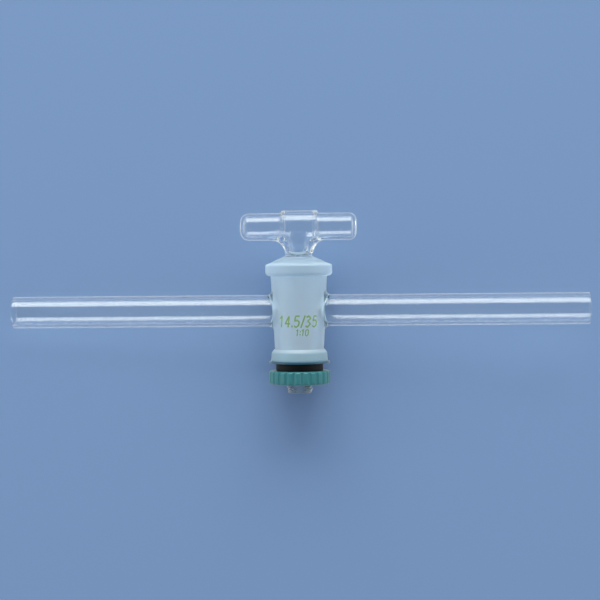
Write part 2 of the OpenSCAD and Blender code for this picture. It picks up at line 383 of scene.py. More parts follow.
def piece(name, shells, materials, body, node, crease=38):
    """One object from its shells, riding on a body and standing for a CAD node where one is named."""
    mesh = bpy.data.meshes.new(name)
    whole = bmesh.new()
    for shell in shells:
        work = shell.sewn()
        part = bpy.data.meshes.new("part")
        work.to_mesh(part)
        work.free()
        whole.from_mesh(part)
        bpy.data.meshes.remove(part)
    loose = sum(not e.is_manifold for e in whole.edges)
    whole.to_mesh(mesh)
    whole.free()
    if loose:
        raise RuntimeError(f"{name} isn't closed: {loose} open edges")
    mesh.shade_smooth()
    mesh.set_sharp_from_angle(angle=radians(crease))
    for material in materials:
        mesh.materials.append(material)
    thing = linked(name, mesh)
    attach(thing, body)
    if node:
        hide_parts(node)
    return thing


# ---- materials

def add_node(material, kind, values=None, links=None, **settings):
    """Adds one shader node: values and links, from (node, output), for its inputs, and its settings."""
    node = material.node_tree.nodes.new("ShaderNode" + kind)
    for key, value in settings.items():
        setattr(node, key, value)
    for key, value in (values or {}).items():
        node.inputs[key].default_value = value
    for key, (source, output) in (links or {}).items():
        material.node_tree.links.new(source.outputs[output], node.inputs[key])
    return node


def blank(name):
    """A new material with an empty node tree."""
    material = bpy.data.materials.new(name)
    material.use_nodes = True
    material.node_tree.nodes.clear()
    return material


def noise(m, scale, detail):
    """Noise in the object's own coordinates, with that many cells to the metre."""
    place = add_node(m, "TexCoord")
    return add_node(m, "TexNoise", {"Scale": scale, "Detail": detail}, {"Vector": (place, "Object")})


def relief(m, scale, detail, strength, depth):
    """A shader's normal, made uneven by noise of that depth in metres."""
    grain = noise(m, scale, detail)
    bump = add_node(m, "Bump", {"Strength": strength, "Distance": depth}, {"Height": (grain, "Fac")})
    return bump, "Normal"


def mixed(m, share, first, second):
    """Two shaders mixed by a share. All three are given as (node, output)."""
    return add_node(m, "MixShader", None, {0: share, 1: first, 2: second}), "Shader"


# Finishes of the glass, as material slots of the barrel and the plug
CLEAR, GROUND, ETCHED, SHADED_FOOT = range(4)
FLAME_WAVES = (160, 1.0, 0.15, 0.00006)   # the slow waviness of worked glass, about 6 mm long
GRIT = (3300, 3.0, 0.2, 0.00003)          # clumps of about 0.3 mm


def glass(name, finish, skin, passed, look):
    """One finish of borosilicate glass: the relief of its skin and the look of its shader. Thick glass
    absorbs a little, and lamps reach what stands behind it, dimmed at each face to the share passed.
    A finish that is there already is used again."""
    if name in bpy.data.materials:
        return bpy.data.materials[name]
    m = blank(name)
    face = add_node(m, "BsdfPrincipled", {"IOR": 1.473, **look}, {"Normal": relief(m, *skin)})
    thick = add_node(m, "VolumeAbsorption", {"Color": (*finish.tint, 1), "Density": 5.0})
    path = add_node(m, "LightPath")
    through = add_node(m, "BsdfTransparent", {"Color": (passed, passed, passed, 1)})
    both = mixed(m, (path, "Is Shadow Ray"), (face, "BSDF"), (through, "BSDF"))
    add_node(m, "OutputMaterial", None, {"Surface": both, "Volume": (thick, "Volume")})
    return m


def flame_worked_glass(finish):
    """Borosilicate glass, drawn and flame-worked: clear, IOR 1.473, with the slow waviness that a
    flame leaves, which breaks the edges of its highlights. Thick glass looks faintly blue-green, and
    a thin sheen pales the faces that are seen edge-on."""
    return glass("flame_worked_borosilicate_glass", finish, FLAME_WAVES, 0.93, {
        "Base Color": (1, 1, 1, 1), "Roughness": 0.0, "Transmission Weight": 1.0,
        "Sheen Weight": 0.6, "Sheen Roughness": 0.3, "Sheen Tint": (1, 1, 1, 1),
    })


def ground_glass(finish):
    """The same glass, ground with fine grit: a grey-white frost that passes light and hides shapes.
    The grit is under 0.05 mm; its clumps are drawn at about 0.3 mm, so that they show."""
    return glass("fine_ground_borosilicate_glass", finish, GRIT, 0.75, {
        "Base Color": (*finish.ground, 1), "Roughness": 0.6, "Transmission Weight": 0.82,
    })


def etched_glass(finish, name="lightly_etched_borosilicate_glass", colour=None):
    """The barrel's outside, dulled by a light etch: still see-through, with a thin white haze that
    brightens towards its edges. Painted shade: the barrel's foot is given a darker colour of its own,
    for the shade that falls there."""
    return glass(name, finish, FLAME_WAVES, 0.85, {
        "Base Color": (*(colour or finish.ground), 1), "Roughness": 0.5, "Transmission Weight": 0.66,
    })


def moulded(name, colour, roughness, grain_mm, depth_mm, spread):
    """A moulded solid colour: faint clouds of lighter and darker colour and a fine skin grain."""
    m = blank(name)
    clouds = noise(m, 120, 2.0)
    dark = tuple(c * (1 - spread) for c in colour)
    light = tuple(min(c * (1 + spread), 1) for c in colour)
    shade = add_node(m, "Mix", {6: (*dark, 1), 7: (*light, 1)}, {0: (clouds, "Fac")}, data_type="RGBA")
    skin = add_node(
        m, "BsdfPrincipled", {"Roughness": roughness, "IOR": 1.5},
        {"Base Color": (shade, 2), "Normal": relief(m, 1000 / grain_mm, 2.0, 0.5, depth_mm / 1000)},
    )
    add_node(m, "OutputMaterial", None, {"Surface": (skin, "BSDF")})
    return m


def materials(finish):
    """The finishes CLEAR, GROUND and ETCHED, shared by the barrel and the plug."""
    return [flame_worked_glass(finish), ground_glass(finish), etched_glass(finish)]


# ---- barrel

def ground_bore(b):
    """The radius of the barrel's ground bore at a height z: cone_r - (mouth - z) slope."""
    return lambda z: b.cone_r - (b.mouth - z) * b.slope


def fillet(wall_r, radius, high, long, angles):
    """Rings between a wall and a tube of radius R along X: at each angle a, rho = R + high (1 - cos a)
    and x = X(rho) + long (1 - sin a), where X is where that tube meets the wall. The fillet leaves the
    wall and joins the tube tangent; high is below 0 inside the tube."""
    rings = []
    for a in np.radians(angles):
        rho = radius + high * (1 - cos(a))
        rings.append(tube(rho, on_turned(wall_r, rho)[0] + long * (1 - sin(a))))
    return rings


def arm_grids(s, polish, barrel_r, bore_r):
    """One arm, from the fillet on the barrel, out to the tip, in along the arm's hollow to its root,
    where the barrel's wall stands convex, and through the way, whose edge is rounded likewise."""
    wall_r = lambda z: barrel_r(z) - s.root_sink
    seal = fillet(barrel_r, ARM_R, s.seal, s.seal_run, np.linspace(90, 0, 15))
    tip = s.half_length
    outer_x, inner_x = 13, 12.4   # where the straight rows begin, past the fillets
    length_wise = outline(
        line([ARM_R, outer_x], [ARM_R, tip - polish], 12),
        arc([ARM_R - polish, tip - polish], polish, 0, 90, 8),
        arc([ARM_BORE_R + polish, tip - polish], polish, 90, 180, 8),
        line([ARM_BORE_R, tip - polish - 1], [ARM_BORE_R, inner_x], 12),
    )
    root = fillet(wall_r, ARM_BORE_R, -s.root_round, s.root_run, np.linspace(0, 90, 12))
    for rho in np.linspace(ARM_BORE_R - s.root_round, s.way_r + s.way_round, 7)[1:-1]:
        root.append(tube(rho, on_turned(wall_r, rho)[0]))
    for a in np.radians(np.linspace(0, 90, 6)):
        rho = s.way_r + s.way_round * (1 - sin(a))
        root.append(tube(rho, on_turned(wall_r, rho)[0] - s.way_round * (1 - cos(a))))
    inner = on_turned(bore_r, s.way_r)[0]
    start = on_turned(wall_r, s.way_r)[0] - s.way_round
    way = [root[-1]] + [tube(s.way_r, start + (inner - start) * t) for t in (0.5, 1)]
    straight = [seal[-1], tube(length_wise[:, :1], length_wise[:, 1:]), root[0]]
    return [np.concatenate(rings) for rings in (seal, straight, root, way)]


class STOPCOCK_OT_barrel(bpy.types.Operator):
    """Build the barrel with both side arms"""

    bl_idname = "stopcock.barrel"
    bl_label = "Barrel"

    def execute(self, context):
        s = context.scene.stopcock.barrel
        bore_r = ground_bore(s)
        barrel_r = lambda z: bore_r(z) + s.wall
        rim_top = s.mouth - s.lip_h
        rim_foot = rim_top - s.rim_h
        low_top = -s.foot + s.low_rim_h
        high, low, bore_high = 10.4, -11.6, 8.0   # ends of the bands round the holes
        etch_z = low_top + 0.1   # the darker etch of the foot, whose colour is painted shade, begins here
        rim_edge, mouth_edge = [s.lip_r + 0.1, rim_top - 0.03], [s.cone_r + 0.25, s.mouth]
        foot_edge = [bore_r(-s.foot) + 0.3, -s.foot]
        outside_top = outline(
            [barrel_r(high), high],
            [barrel_r(rim_foot) + 0.02, rim_foot - 0.25],
            arc([barrel_r(rim_foot) + 0.3, rim_foot - 0.25], 0.3, 180, 90, 4),
            arc([s.rim_r - 1.3, rim_foot + 1.3], 1.3, -80, 0, 8),
            arc([s.rim_r - 0.9, rim_top - 1.35], 0.9, 0, 72, 8),
            rim_edge,
        )
        lip = outline(rim_edge, mouth_edge)
        bore_top = outline(
            mouth_edge,
            [s.cone_r + 0.05, s.mouth - 0.08],
            on_cone(bore_r, s.mouth - 0.3, bore_high, 6),
        )
        outside_foot = outline(
            [barrel_r(low), low],
            [barrel_r(low_top + 0.3), low_top + 0.3],
            arc([barrel_r(low_top) + 0.35, low_top - 0.1], 0.3, 170, 110, 4),
            [s.low_rim_r - 0.42, low_top - 0.75],
            [s.low_rim_r - 0.25, low_top - 1.05],
            line([s.low_rim_r - 0.2, low_top - 1.4], [s.low_rim_r, -s.foot + 0.35], 4),
            arc([s.low_rim_r - 0.35, -s.foot + 0.35], 0.35, 0, -90, 6),
            foot_edge,
        )
        bore_foot = outline(
            foot_edge,
            [bore_r(-s.foot) + 0.02, -s.foot + 0.12],
            on_cone(bore_r, -17, -bore_high, 6),
        )
        shell = Shell()
        foot = lathe(outside_foot)
        shell.add(lathe(outside_top), finish=ETCHED)
        # Below etch_z the foot takes the darker etch, whose colour is painted shade
        shell.add(foot, finish=np.where(foot[:-1, :, 2] < etch_z, SHADED_FOOT, ETCHED))
        shell.add(lathe(lip), lathe(bore_top), lathe(bore_foot), finish=GROUND)
        outer = band(barrel_r, ARM_R + s.seal, low, high, 16)
        inner = band(bore_r, s.way_r, -bore_high, bore_high, 14)
        shell.add(outer, left(outer), finish=ETCHED).add(inner, left(inner), finish=GROUND)
        for polish, side in ((s.polish_right, lambda grid: grid), (s.polish_left, left)):
            seal, arm, root, way = arm_grids(s, polish, barrel_r, bore_r)
            frosted = np.where(seal[:-1, :, 0] < s.frost_edge, ETCHED, CLEAR)
            shell.add(side(seal), finish=frosted).add(side(arm))
            shell.add(side(root), finish=ETCHED).add(side(way))
        finish = context.scene.stopcock.finish
        # The foot's etch, darker in colour, is painted shade
        thick = etched_glass(finish, "shaded_foot_etched_borosilicate_glass", finish.rim)
        piece("barrel_glass", [shell], materials(finish) + [thick], "barrel", "barrel")
        return {"FINISHED"}


# ---- plug

WAY_BAND = 5.4       # half height of the bands round the plug's way
NECK_Z = 19.95       # height of the neck's lowest ring
HOLLOW_Z = 20.0      # height at which the neck's hollow, and the sweeps of the handle, begin
SWEEPS = (((-9.9, 19.1), 5.4), ((12.15, 18.4), 7.3))   # centre (x, z) and inner radius, left and right
BUBBLE = (2.5, -2.4, 21.6)   # middle of the air bubble


def tee(field, bar_z, edge_xs, bar_r, ring_r, ring_z, ends, lower, rows):
    """A round bar along X on a neck, outside a field's zero. Below the bar's axis, rays from the
    bar's middle run from the neck's ring to the edge of the bar's middle stretch; above it, rays
    leave the axis at each x. The two ends are turned round the bar's axis."""
    side = len(edge_xs) - 1
    count = 2 * (side + lower)
    psi = np.radians(np.linspace(0, 180, lower + 1))
    axis = np.stack([edge_xs, 0 * edge_xs, 0 * edge_xs + bar_z], -1)
    up = ringed(0, 1, psi)
    top = cast(axis[None], up[:, None] + 0 * axis[None], field, far=12.0)
    front, back = top[-1], top[0]
    wide = edge_xs[0]
    half = lambda x, a: ringed(x, bar_r, a, bar_z)
    sides = half(wide, -psi), front, half(-wide, psi - pi), back[::-1]
    edge = np.concatenate([side_edge[:-1] for side_edge in sides])
    turn = np.radians(180 * lower / count - 360 * np.arange(count) / count)
    ring = turned(ring_r, turn, ring_z)
    t = np.linspace(0, 1, rows + 1)[:, None, None]
    ray = (1 - t) * ring + t * edge - [0, 0, bar_z]
    ray /= np.linalg.norm(ray, axis=-1, keepdims=True)
    under = cast(np.array([0, 0, bar_z]), ray, field, far=30.0)
    under[0], under[-1] = ring, edge
    grids = [(under, True), (top, False)]
    around = np.radians(180 * np.arange(2 * lower) / lower)
    for sign, profile in zip((1, -1), ends):
        grids.append((ringed(sign * profile[:, :1], profile[:, 1:], around, bar_z), True))
    return grids


def bar_ends(s, wide, wall=0):
    """Profiles (x, r) of the bar's two closed ends, from x = wide to the pole, a wall inside it."""
    end, radius = s.handle_end - wall, s.handle_r - wall
    return [
        outline(
            line([wide, radius], [end - r, radius], 5), arc([end - r, radius - r], r, 90, 0, 12),
            line([end, radius - r], [end, 0], 4)[1:], [end, 0],
        )
        for r in (s.round_right - wall, s.round_left - wall)
    ]


def collar_field(s, p, edge=0.45):
    """Below 0 inside the bar or its collar: distance to a cylinder, and to a round-edged one."""
    rho = np.hypot(p[..., 1], p[..., 2] - s.handle_z)
    u, v = np.abs(p[..., 0]) - s.collar_half + edge, rho - s.collar_r + edge
    box = np.hypot(np.maximum(u, 0), np.maximum(v, 0)) + np.minimum(np.maximum(u, v), 0) - edge
    return smooth_min(rho - s.handle_r, box, 0.25)


def elbow_field(p, centre, inner, outer_top):
    """Below 0 inside a quarter ring that leads from the neck to one side of the bar: distance to an
    arc round the centre, less the tube's radius. Its inner side has the given radius."""
    r = (outer_top - centre[1] - inner) / 2
    x, z = copysign(1, centre[0]) * (centre[0] - p[..., 0]), p[..., 2] - centre[1]
    dx, dz = np.maximum(x, 0), np.maximum(z, 0)
    ring = np.hypot(dx, dz) - inner - r
    return np.sqrt(ring ** 2 + (x - dx) ** 2 + (z - dz) ** 2 + p[..., 1] ** 2) - r


def side_xs(wide, collar_half):
    """Where the columns of the bar's middle stretch stand, close together at the collar's edges."""
    a, b = collar_half + 0.35, collar_half - 0.65   # the crowded stretch
    return np.concatenate([
        line(wide, a, 9), line(a, b, 8), line(b, -b, 22), line(-b, -a, 8), np.linspace(-a, -wide, 10)
    ])


def near_bar(s, x, z, reach):
    """1 where the bar and what carries it are blended, falling to 0 at the bar's axis and at reach."""
    return ease((s.handle_z - z - 0.3) / 2.5) * ease((reach - np.abs(x)) / 2)


def handle_grids(s):
    """The handle's outside: the bar and its collar, and the neck that flares into both sides."""
    top = s.handle_z + s.handle_r - 0.2

    def field(p):
        x, z = p[..., 0], p[..., 2]
        bar = collar_field(s, p - [s.collar_x, 0, 0])
        deep = s.neck_r + s.neck_swell * ease((z - 20.5) / 7)
        neck = (np.hypot(x / s.neck_r, p[..., 1] / deep) - 1) * s.neck_r
        neck = np.where(z > s.handle_z, FAR, neck)
        sweep = np.minimum(*(elbow_field(p, centre, inner, top) for centre, inner in SWEEPS))
        neck = smooth_min(neck, sweep, 0.5 * ease((z - HOLLOW_Z) / 1.5))
        return smooth_min(bar, neck, 0.7 * near_bar(s, x, z, 11.6))

    wide = 12.0   # half length of the bar's middle stretch
    xs, ends = side_xs(wide, s.collar_half), bar_ends(s, wide)
    return tee(field, s.handle_z, xs, s.handle_r, s.neck_r, NECK_Z, ends, lower=40, rows=44)


def handle_hollow(s):
    """The hollow of the handle and neck: the same kind of form, with an oval funnel for the neck."""
    wall = s.handle_wall

    def field(p):
        x, y, z = p[..., 0], p[..., 1], p[..., 2]
        swell = (s.collar_r - s.handle_r) * ease((s.collar_half + 0.6 - np.abs(x - s.collar_x)) / 2.4)
        bar = np.hypot(y, z - s.handle_z) - s.handle_r + wall - swell
        up = np.maximum(z - HOLLOW_Z, 0)
        long = s.neck_bore_r + np.where(x < 0, 0.38, 0.5) * up
        deep = s.neck_bore_r + 1.1 * ease((z - 20.2) / 5)
        funnel = (np.hypot(x / long, y / deep) - 1) * np.minimum(long, deep)
        funnel = np.maximum(funnel, z - 26.2)
        return smooth_min(bar, funnel, 0.9 * near_bar(s, x, z, 9.6))

    wide, a, b = 11.0, 6.2, 4.8   # ends of the middle stretch and of its crowded parts
    xs = np.concatenate([
        line(wide, a, 5), line(a, b, 6), line(b, -b, 10), line(-b, -a, 6), np.linspace(-a, -wide, 6),
    ])
    bar_r = s.handle_r - wall
    ends = bar_ends(s, wide, wall)
    grids = tee(field, s.handle_z, xs, bar_r, s.neck_bore_r, HOLLOW_Z, ends, lower=32, rows=32)
    # The floor of the hollow; the plug gives it the etched finish, a painted highlight
    floor = arc([0, 0], 1, 0, -90, 8) * [s.neck_bore_r, 1.6] + [0, HOLLOW_Z]
    return grids + [(lathe(floor, columns=128), True)]


def cone_hollow(s, b, bore_r):
    """The hollow of the ground cone, with the cross tube standing in it."""
    inner = lambda z: bore_r(z) - s.gap - s.wall
    top, foot, corner, edge = 16.2, -15.2, 2, WAY_BAND
    shell = Shell(hollow=True)
    shell.add(
        lathe(outline(
            [0, foot], arc([inner(foot) - corner, foot + corner], corner, -90, 0, 10),
            on_cone(inner, foot + 3, -edge, 4),
        )),
        lathe(outline(
            [inner(edge), edge],
            line([inner(edge + 1), edge + 1], [inner(top - corner), top - corner], 4),
            arc([inner(top) - corner, top - corner], corner, 0, 90, 10), [0, top],
        )),
    )
    rho = b.way_r + s.tube_wall
    half = band(inner, rho, -edge, edge, 8)
    cross = to_axis(inner, rho, 7)
    return shell.add(half, left(half), cross, left(cross))


def thread(s, z, turn, clearance=0.0):
    """Radius of a right-hand thread: root + depth * crest(z / lead - turn / 2 pi). The crest is a
    rounded trapezium; the flats that cut the tail at |y| = flat are cut where the tail is built."""
    phase = z / s.lead - turn / (2 * pi)
    crest = ease((np.abs(2 * (phase - np.floor(phase)) - 1) - 0.2) / 0.6)
    return s.tail_r - s.depth * (1 - crest) + clearance


def tail_grids(s, top):
    """The threaded tail, from the foot of the cone to its end."""
    turn = circle(AROUND)
    start, end, edge = top - 0.5, -s.tail_end, 0.5
    z = np.linspace(start, end + edge, 110)[:, None]
    fade = ease((start - 1.3 - z) / 0.8) * ease((z - end - 0.7) / 0.5)
    root = s.tail_r - s.depth * 0.85
    r = root + fade * (thread(s, z, turn) - root)
    cap = arc([0, 0], edge, 0, -90, 5)
    r = np.concatenate([r, r[-1:] - edge + cap[:, :1]])
    z = np.concatenate([z, end + edge + cap[:, 1:]]) + 0 * turn
    r = np.minimum(r, s.flat / np.maximum(np.abs(np.sin(turn)), 1e-3))
    inner = line(1.0, 0.0, 4)[1:, None] * r[-1:]
    r = np.concatenate([r, inner, 0 * r[-1:]])
    z = np.concatenate([z, np.full((len(inner) + 1, AROUND), end)])
    grid = turned(r, turn, z)
    cut = np.abs(grid[..., 1]) > s.flat - 1e-3
    cut = cut & np.roll(cut, -1, 1)
    return grid, np.where(cut[:-1] & cut[1:], GROUND, CLEAR)


class STOPCOCK_OT_plug(bpy.types.Operator):
    """Build the hollow plug with its handle, cross tube and threaded tail"""

    bl_idname = "stopcock.plug"
    bl_label = "Plug"

    def execute(self, context):
        s, b = context.scene.stopcock.plug, context.scene.stopcock.barrel
        bore_r = ground_bore(b)
        cone_r = lambda z: bore_r(z) - s.gap
        top, foot, edge = b.mouth + 0.05, -b.foot + 0.8, WAY_BAND
        slope = degrees(atan(s.shoulder))
        join = s.neck_r + s.neck_round * (1 - sin(radians(slope)))
        rise = top + (cone_r(top) - join) * s.shoulder
        neck_foot = rise + s.neck_round * cos(radians(slope))
        shoulder = [join + 0.5, rise - 0.5 * s.shoulder]
        shell = Shell()
        high = outline(
            [cone_r(edge), edge], on_cone(cone_r, edge + 1, top, 6),
            line([cone_r(top) - 0.1, top + 0.05], shoulder, 5), shoulder,
        )
        shell.add(lathe(high), finish=GROUND)
        bend = arc([s.neck_r + s.neck_round, neck_foot], s.neck_round, 270 - slope, 180, 6)
        shell.add(lathe(outline(shoulder, bend, [s.neck_r, NECK_Z])))
        low = outline([cone_r(-edge), -edge], on_cone(cone_r, -edge - 1, foot, 6))
        shell.add(lathe(low), finish=GROUND)
        tail, tail_finish = tail_grids(s, foot)
        ledge = lathe(outline([cone_r(foot), foot], [cone_r(foot) - 0.15, foot - 0.1]))
        step = tail[:1] + (ledge[-1:] - tail[:1]) * [0.25, 0.25, 0.3]
        shell.add(ledge, np.concatenate([ledge[-1:], step, tail[:1]]))
        shell.add(tail, finish=tail_finish)
        half = band(cone_r, b.way_r, -edge, edge, 8)
        way = to_axis(cone_r, b.way_r, 5)
        shell.add(half, left(half), finish=GROUND).add(way, left(way))
        for grid, closed in handle_grids(s):
            shell.add(grid, closed=closed)
        hollow = Shell(hollow=True)
        # The floor of the neck's hollow takes the pale etched finish as a painted highlight: it stands
        # in for the bright reflection there
        for (grid, closed), slot in zip(handle_hollow(s), (CLEAR, CLEAR, CLEAR, CLEAR, ETCHED)):
            hollow.add(grid, closed=closed, finish=slot)
        bubble = Shell(hollow=True)
        ball = lathe(arc([0, 0], s.bubble_r, 90, -90, 12) * [1, 1.25], 24)
        bubble.add(ball + BUBBLE)
        shells = [shell, hollow, cone_hollow(s, b, bore_r), bubble]
        finish = context.scene.stopcock.finish
        piece("plug_glass", shells, materials(finish), "plug", "plug")
        return {"FINISHED"}


# ---- washer, ring and nut

def turned_section(section, hole, columns):
    """A closed section of (share, r, z) carried round Z, at the radius r + share hole(a)."""
    a = circle(columns)
    share, r, z = (section[:, i:i + 1] for i in range(3))
    return turned((1 - share) * r + share * (hole(a) + r), a, z)


def disc_section(radius, top, foot, edge):
    """Section of a flat ring: rounded outer edge on the radius, then the hole's wall."""
    low, high = foot + edge, top - edge
    rim = radius - edge
    outer = outline(arc([rim, low], edge, -90, 0, 4), arc([rim, high], edge, 0, 90, 4))
    inner = outline(arc([edge, high], edge, 90, 180, 4), arc([edge, low], edge, 180, 270, 4))
    share = np.concatenate([np.zeros(len(outer)), np.ones(len(inner)), np.zeros(1)])
    return np.concatenate([share[:, None], outline(outer, inner, outer[0])], 1)


class STOPCOCK_OT_seals(bpy.types.Operator):
    """Build the keyed washer and the rubber ring"""

    bl_idname = "stopcock.seals"
    bl_label = "Washer and ring"

    def execute(self, context):
        own = context.scene.stopcock
        s, p, b, finish = own.seal, own.plug, own.barrel, own.finish
        key = lambda a: np.minimum(
            p.tail_r + s.key_gap, (p.flat + s.key_gap) / np.maximum(np.abs(np.sin(a)), 1e-3)
        )
        plain = lambda a: p.tail_r + s.ring_gap + 0 * a
        washer_top = -b.foot
        ring_top = washer_top - s.washer_t
        washer = turned_section(disc_section(s.washer_r, washer_top, ring_top, 0.12), key, AROUND)
        ring = turned_section(disc_section(s.ring_r, ring_top, ring_top - s.ring_t, 0.25), plain, 128)
        # The washer's dark colour is painted shade
        hard = moulded("punched_plastic_sheet_with_painted_shade", finish.washer, 0.3, 0.4, 0.01, 0.1)
        rubber = moulded("moulded_black_rubber", finish.rubber, 0.75, 0.3, 0.02, 0.2)
        piece("washer_disc", [Shell().add(washer)], [hard], "plug", "washer")
        seal = Shell().add(ring)
        piece("rubber_ring_seal", [seal], [rubber], "spring_ring", "rubber_ring")
        return {"FINISHED"}


class STOPCOCK_OT_nut(bpy.types.Operator):
    """Build the ribbed nut with its thread"""

    bl_idname = "stopcock.nut"
    bl_label = "Nut"

    def execute(self, context):
        own = context.scene.stopcock
        s, p, b, finish = own.seal, own.plug, own.barrel, own.finish
        top = -b.foot - s.washer_t - s.ring_t
        foot = top - s.nut_h
        a = circle(16 * s.ribs)
        face_r, rib_round = 7.0, 0.12   # where the flat faces begin, and rounding of the ribs' edges
        edge = s.nut_round
        rim = s.nut_r - edge
        outer = outline(
            line([face_r, foot], [rim, foot], 4), arc([rim, foot + edge], edge, -90, 0, 8),
            arc([rim, top - edge], edge, 0, 90, 8), [face_r, top],
        )
        pitch = 2 * pi / s.ribs
        off = ((a / pitch) % 1 - 0.5) * pitch
        g = 0.6 * pi * s.nut_r / s.ribs   # radius of a groove
        centre = s.nut_r - s.groove + g
        aside = centre * np.sin(off)
        reach = np.sqrt(np.maximum(g * g - aside ** 2, 0))
        scallop = np.where(np.abs(aside) < g, centre * np.cos(off) - reach, FAR)
        r_out = smooth_min(outer[:, :1] + 0 * a, scallop + 0 * outer[:, :1], rib_round)
        play, bevel_w, bevel_h = 0.12, 0.45, 0.4   # of the thread, and of the hole's bevelled ends
        z_in = np.linspace(top - bevel_h, foot + bevel_h, 44)[:, None]
        fade = ease((top - bevel_h - z_in) / 0.6) * ease((z_in - foot - bevel_h) / 0.6)
        open_r = p.tail_r + play
        r_in = open_r + fade * (thread(p, z_in, a, play) - open_r)
        bevel = 0 * a[None] + open_r + bevel_w
        r = np.concatenate([r_out, bevel, r_in, bevel, r_out[:1]])
        z = np.concatenate([outer[:, 1:], [[top]], z_in, [[foot]], outer[:1, 1:]])
        grid = turned(r, a, z)
        plastic = moulded("moulded_green_thermoplastic", finish.nut, 0.4, 0.5, 0.015, 0.12)
        piece("ribbed_nut", [Shell().add(grid)], [plastic], "nut", "nut", crease=50)
        return {"FINISHED"}


# ---- enamel mark

# Each figure is a few strokes on a grid 2 wide and 4 high, and each stroke a row of points
STROKES = {
    "0": [[(1, 4), (1.9, 3.4), (1.9, 0.6), (1, 0), (0.1, 0.6), (0.1, 3.4), (1, 4)]],
    "1": [[(0.3, 3.1), (1.1, 4), (1.1, 0)]],
    "3": [[(0.1, 3.6), (1, 4), (1.8, 3.2), (0.8, 2.2), (1.9, 1.2), (1, 0), (0.1, 0.5)]],
    "4": [[(1.4, 0), (1.4, 4), (0.1, 1.3), (2, 1.3)]],
    "5": [[(1.8, 4), (0.4, 4), (0.2, 2.3), (1.1, 2.5), (1.9, 1.9), (1.8, 0.6), (1, 0), (0.1, 0.5)]],
    ".": [[(0.2, 0), (0.2, 0.6)]],
    "/": [[(0.1, -0.2), (1.1, 4.2)]],
    ":": [[(0.2, 0.5), (0.2, 1.2)], [(0.2, 2.3), (0.2, 3.0)]],
}
FIGURE_STEP = {".": 0.8, ":": 0.9, "/": 1.6}   # to the next figure, where it isn't FULL_STEP
FULL_STEP, FIGURE_GAP = 2.7, 0.7
ENAMEL_T, ENAMEL_OFF = 0.03, 0.004   # thickness of the enamel, and how far its back is off the glass


def ribbon(path, width, surface_r):
    """A flat ribbon along a path of (x, z), wrapped on the barrel at the angle x / r."""
    path = np.array(path, float)
    run = np.concatenate([[0], np.cumsum(np.hypot(*np.diff(path, axis=0).T))])
    t = np.linspace(0, run[-1], max(int(run[-1] / 0.12), 3))
    fine = np.stack([np.interp(t, run, path[:, i]) for i in (0, 1)], -1)
    way = np.gradient(fine, axis=0)
    way /= np.linalg.norm(way, axis=1, keepdims=True)
    across = np.stack([-way[:, 1], way[:, 0]], -1) * width / 2
    rings = []
    for side, top in ((1, 0), (1, 1), (0.5, 1), (-0.5, 1), (-1, 1), (-1, 0)):
        x, z = (fine + side * across).T
        r = surface_r(z) + ENAMEL_OFF + top * ENAMEL_T
        rings.append(turned(r, -pi / 2 + x / surface_r(0), z))
    body = np.stack(rings, 1)
    first, last = body[:1].mean(1, keepdims=True), body[-1:].mean(1, keepdims=True)
    ones = np.ones((1, len(rings), 1))
    return np.concatenate([first * ones, body, last * ones])


def written(text, x, z, height, width, slant, surface_r):
    """Shells of a row of figures, centred on x with its foot at z."""
    scale = height / 4
    steps = [FIGURE_STEP.get(c, FULL_STEP) * scale for c in text]
    x -= (sum(steps) - FIGURE_GAP * scale) / 2
    shells = []
    for c, step in zip(text, steps):
        for stroke in STROKES[c]:
            path = [(x + scale * (u + slant * v), z + scale * v) for u, v in stroke]
            shells.append(Shell().add(ribbon(path, width, surface_r)))
        x += step
    return shells


class STOPCOCK_OT_mark(bpy.types.Operator):
    """Write the size of the ground cone on the barrel in enamel"""

    bl_idname = "stopcock.mark"
    bl_label = "Enamel mark"

    def execute(self, context):
        own = context.scene.stopcock
        b, finish = own.barrel, own.finish
        surface_r = lambda z: ground_bore(b)(z) + b.wall
        slant = 0.14   # how far a figure leans for each millimetre up
        shells = written("14.5/35", -0.2, -5.5, 3.8, 0.5, slant, surface_r)
        shells += written("1:10", 1.4, -8.5, 2.2, 0.36, slant, surface_r)
        enamel = moulded("fired_green_enamel", finish.mark, 0.45, 0.2, 0.01, 0.15)
        piece("enamel_mark", shells, [enamel], "barrel", None)
        return {"FINISHED"}


# ---- stage

FLOOR_HALF, FLOOR_Z = 1.3, -0.00005
LAMP_COLOUR = (0.96, 1.0, 0.92)
LAMP_AIM, LAMP_AWAY = (0, 0, 0.012), 1.8   # the point that the softboxes face, and their distance
SOFTBOXES = (   # name, turn round Z, level, degrees from overhead, length and width
    ("far_softbox", 0, 1.75, 68, 1.84, 1.3),
    ("far_left_softbox", 47, 0.5, 71, 1.60, 0.80),
    ("far_right_softbox", -47, 0.4, 71, 1.60, 0.80),
    ("left_softbox", 90, 0.4, 74, 1.60, 0.80),
    ("right_softbox", -90, 0.3, 74, 1.60, 0.80),
)
LENS, EYE, EYE_TURN = 106.8, (0.00035, 0.0006, 0.6283), -0.57


def mirror_share(m, path, **settings):
    """A share worked out from two marks of a ray: that it is glossy, and that it passes glass."""
    marks = {0: (path, "Is Glossy Ray"), 1: (path, "Is Transmission Ray")}
    return add_node(m, "Math", None, marks, **settings), "Value"


def paper_card(finish):
    """Matt paper card with a fine fibre. Where glass mirrors it, it is as pale as the surroundings."""
    m = blank("matt_paper_card")
    paper = add_node(
        m, "BsdfPrincipled",
        {"Base Color": (*finish.floor, 1), "Roughness": 0.9, "Specular IOR Level": 0.1},
        {"Normal": relief(m, 900, 3.0, 0.15, 0.0001)},
    )
    path = add_node(m, "LightPath")
    pale = add_node(m, "Emission", {"Color": (*finish.sky, 1), "Strength": 0.95})
    mirrored = mirror_share(m, path, operation="SUBTRACT", use_clamp=True)
    both = mixed(m, mirrored, (paper, "BSDF"), (pale, "Emission"))
    add_node(m, "OutputMaterial", None, {"Surface": both})
    return m


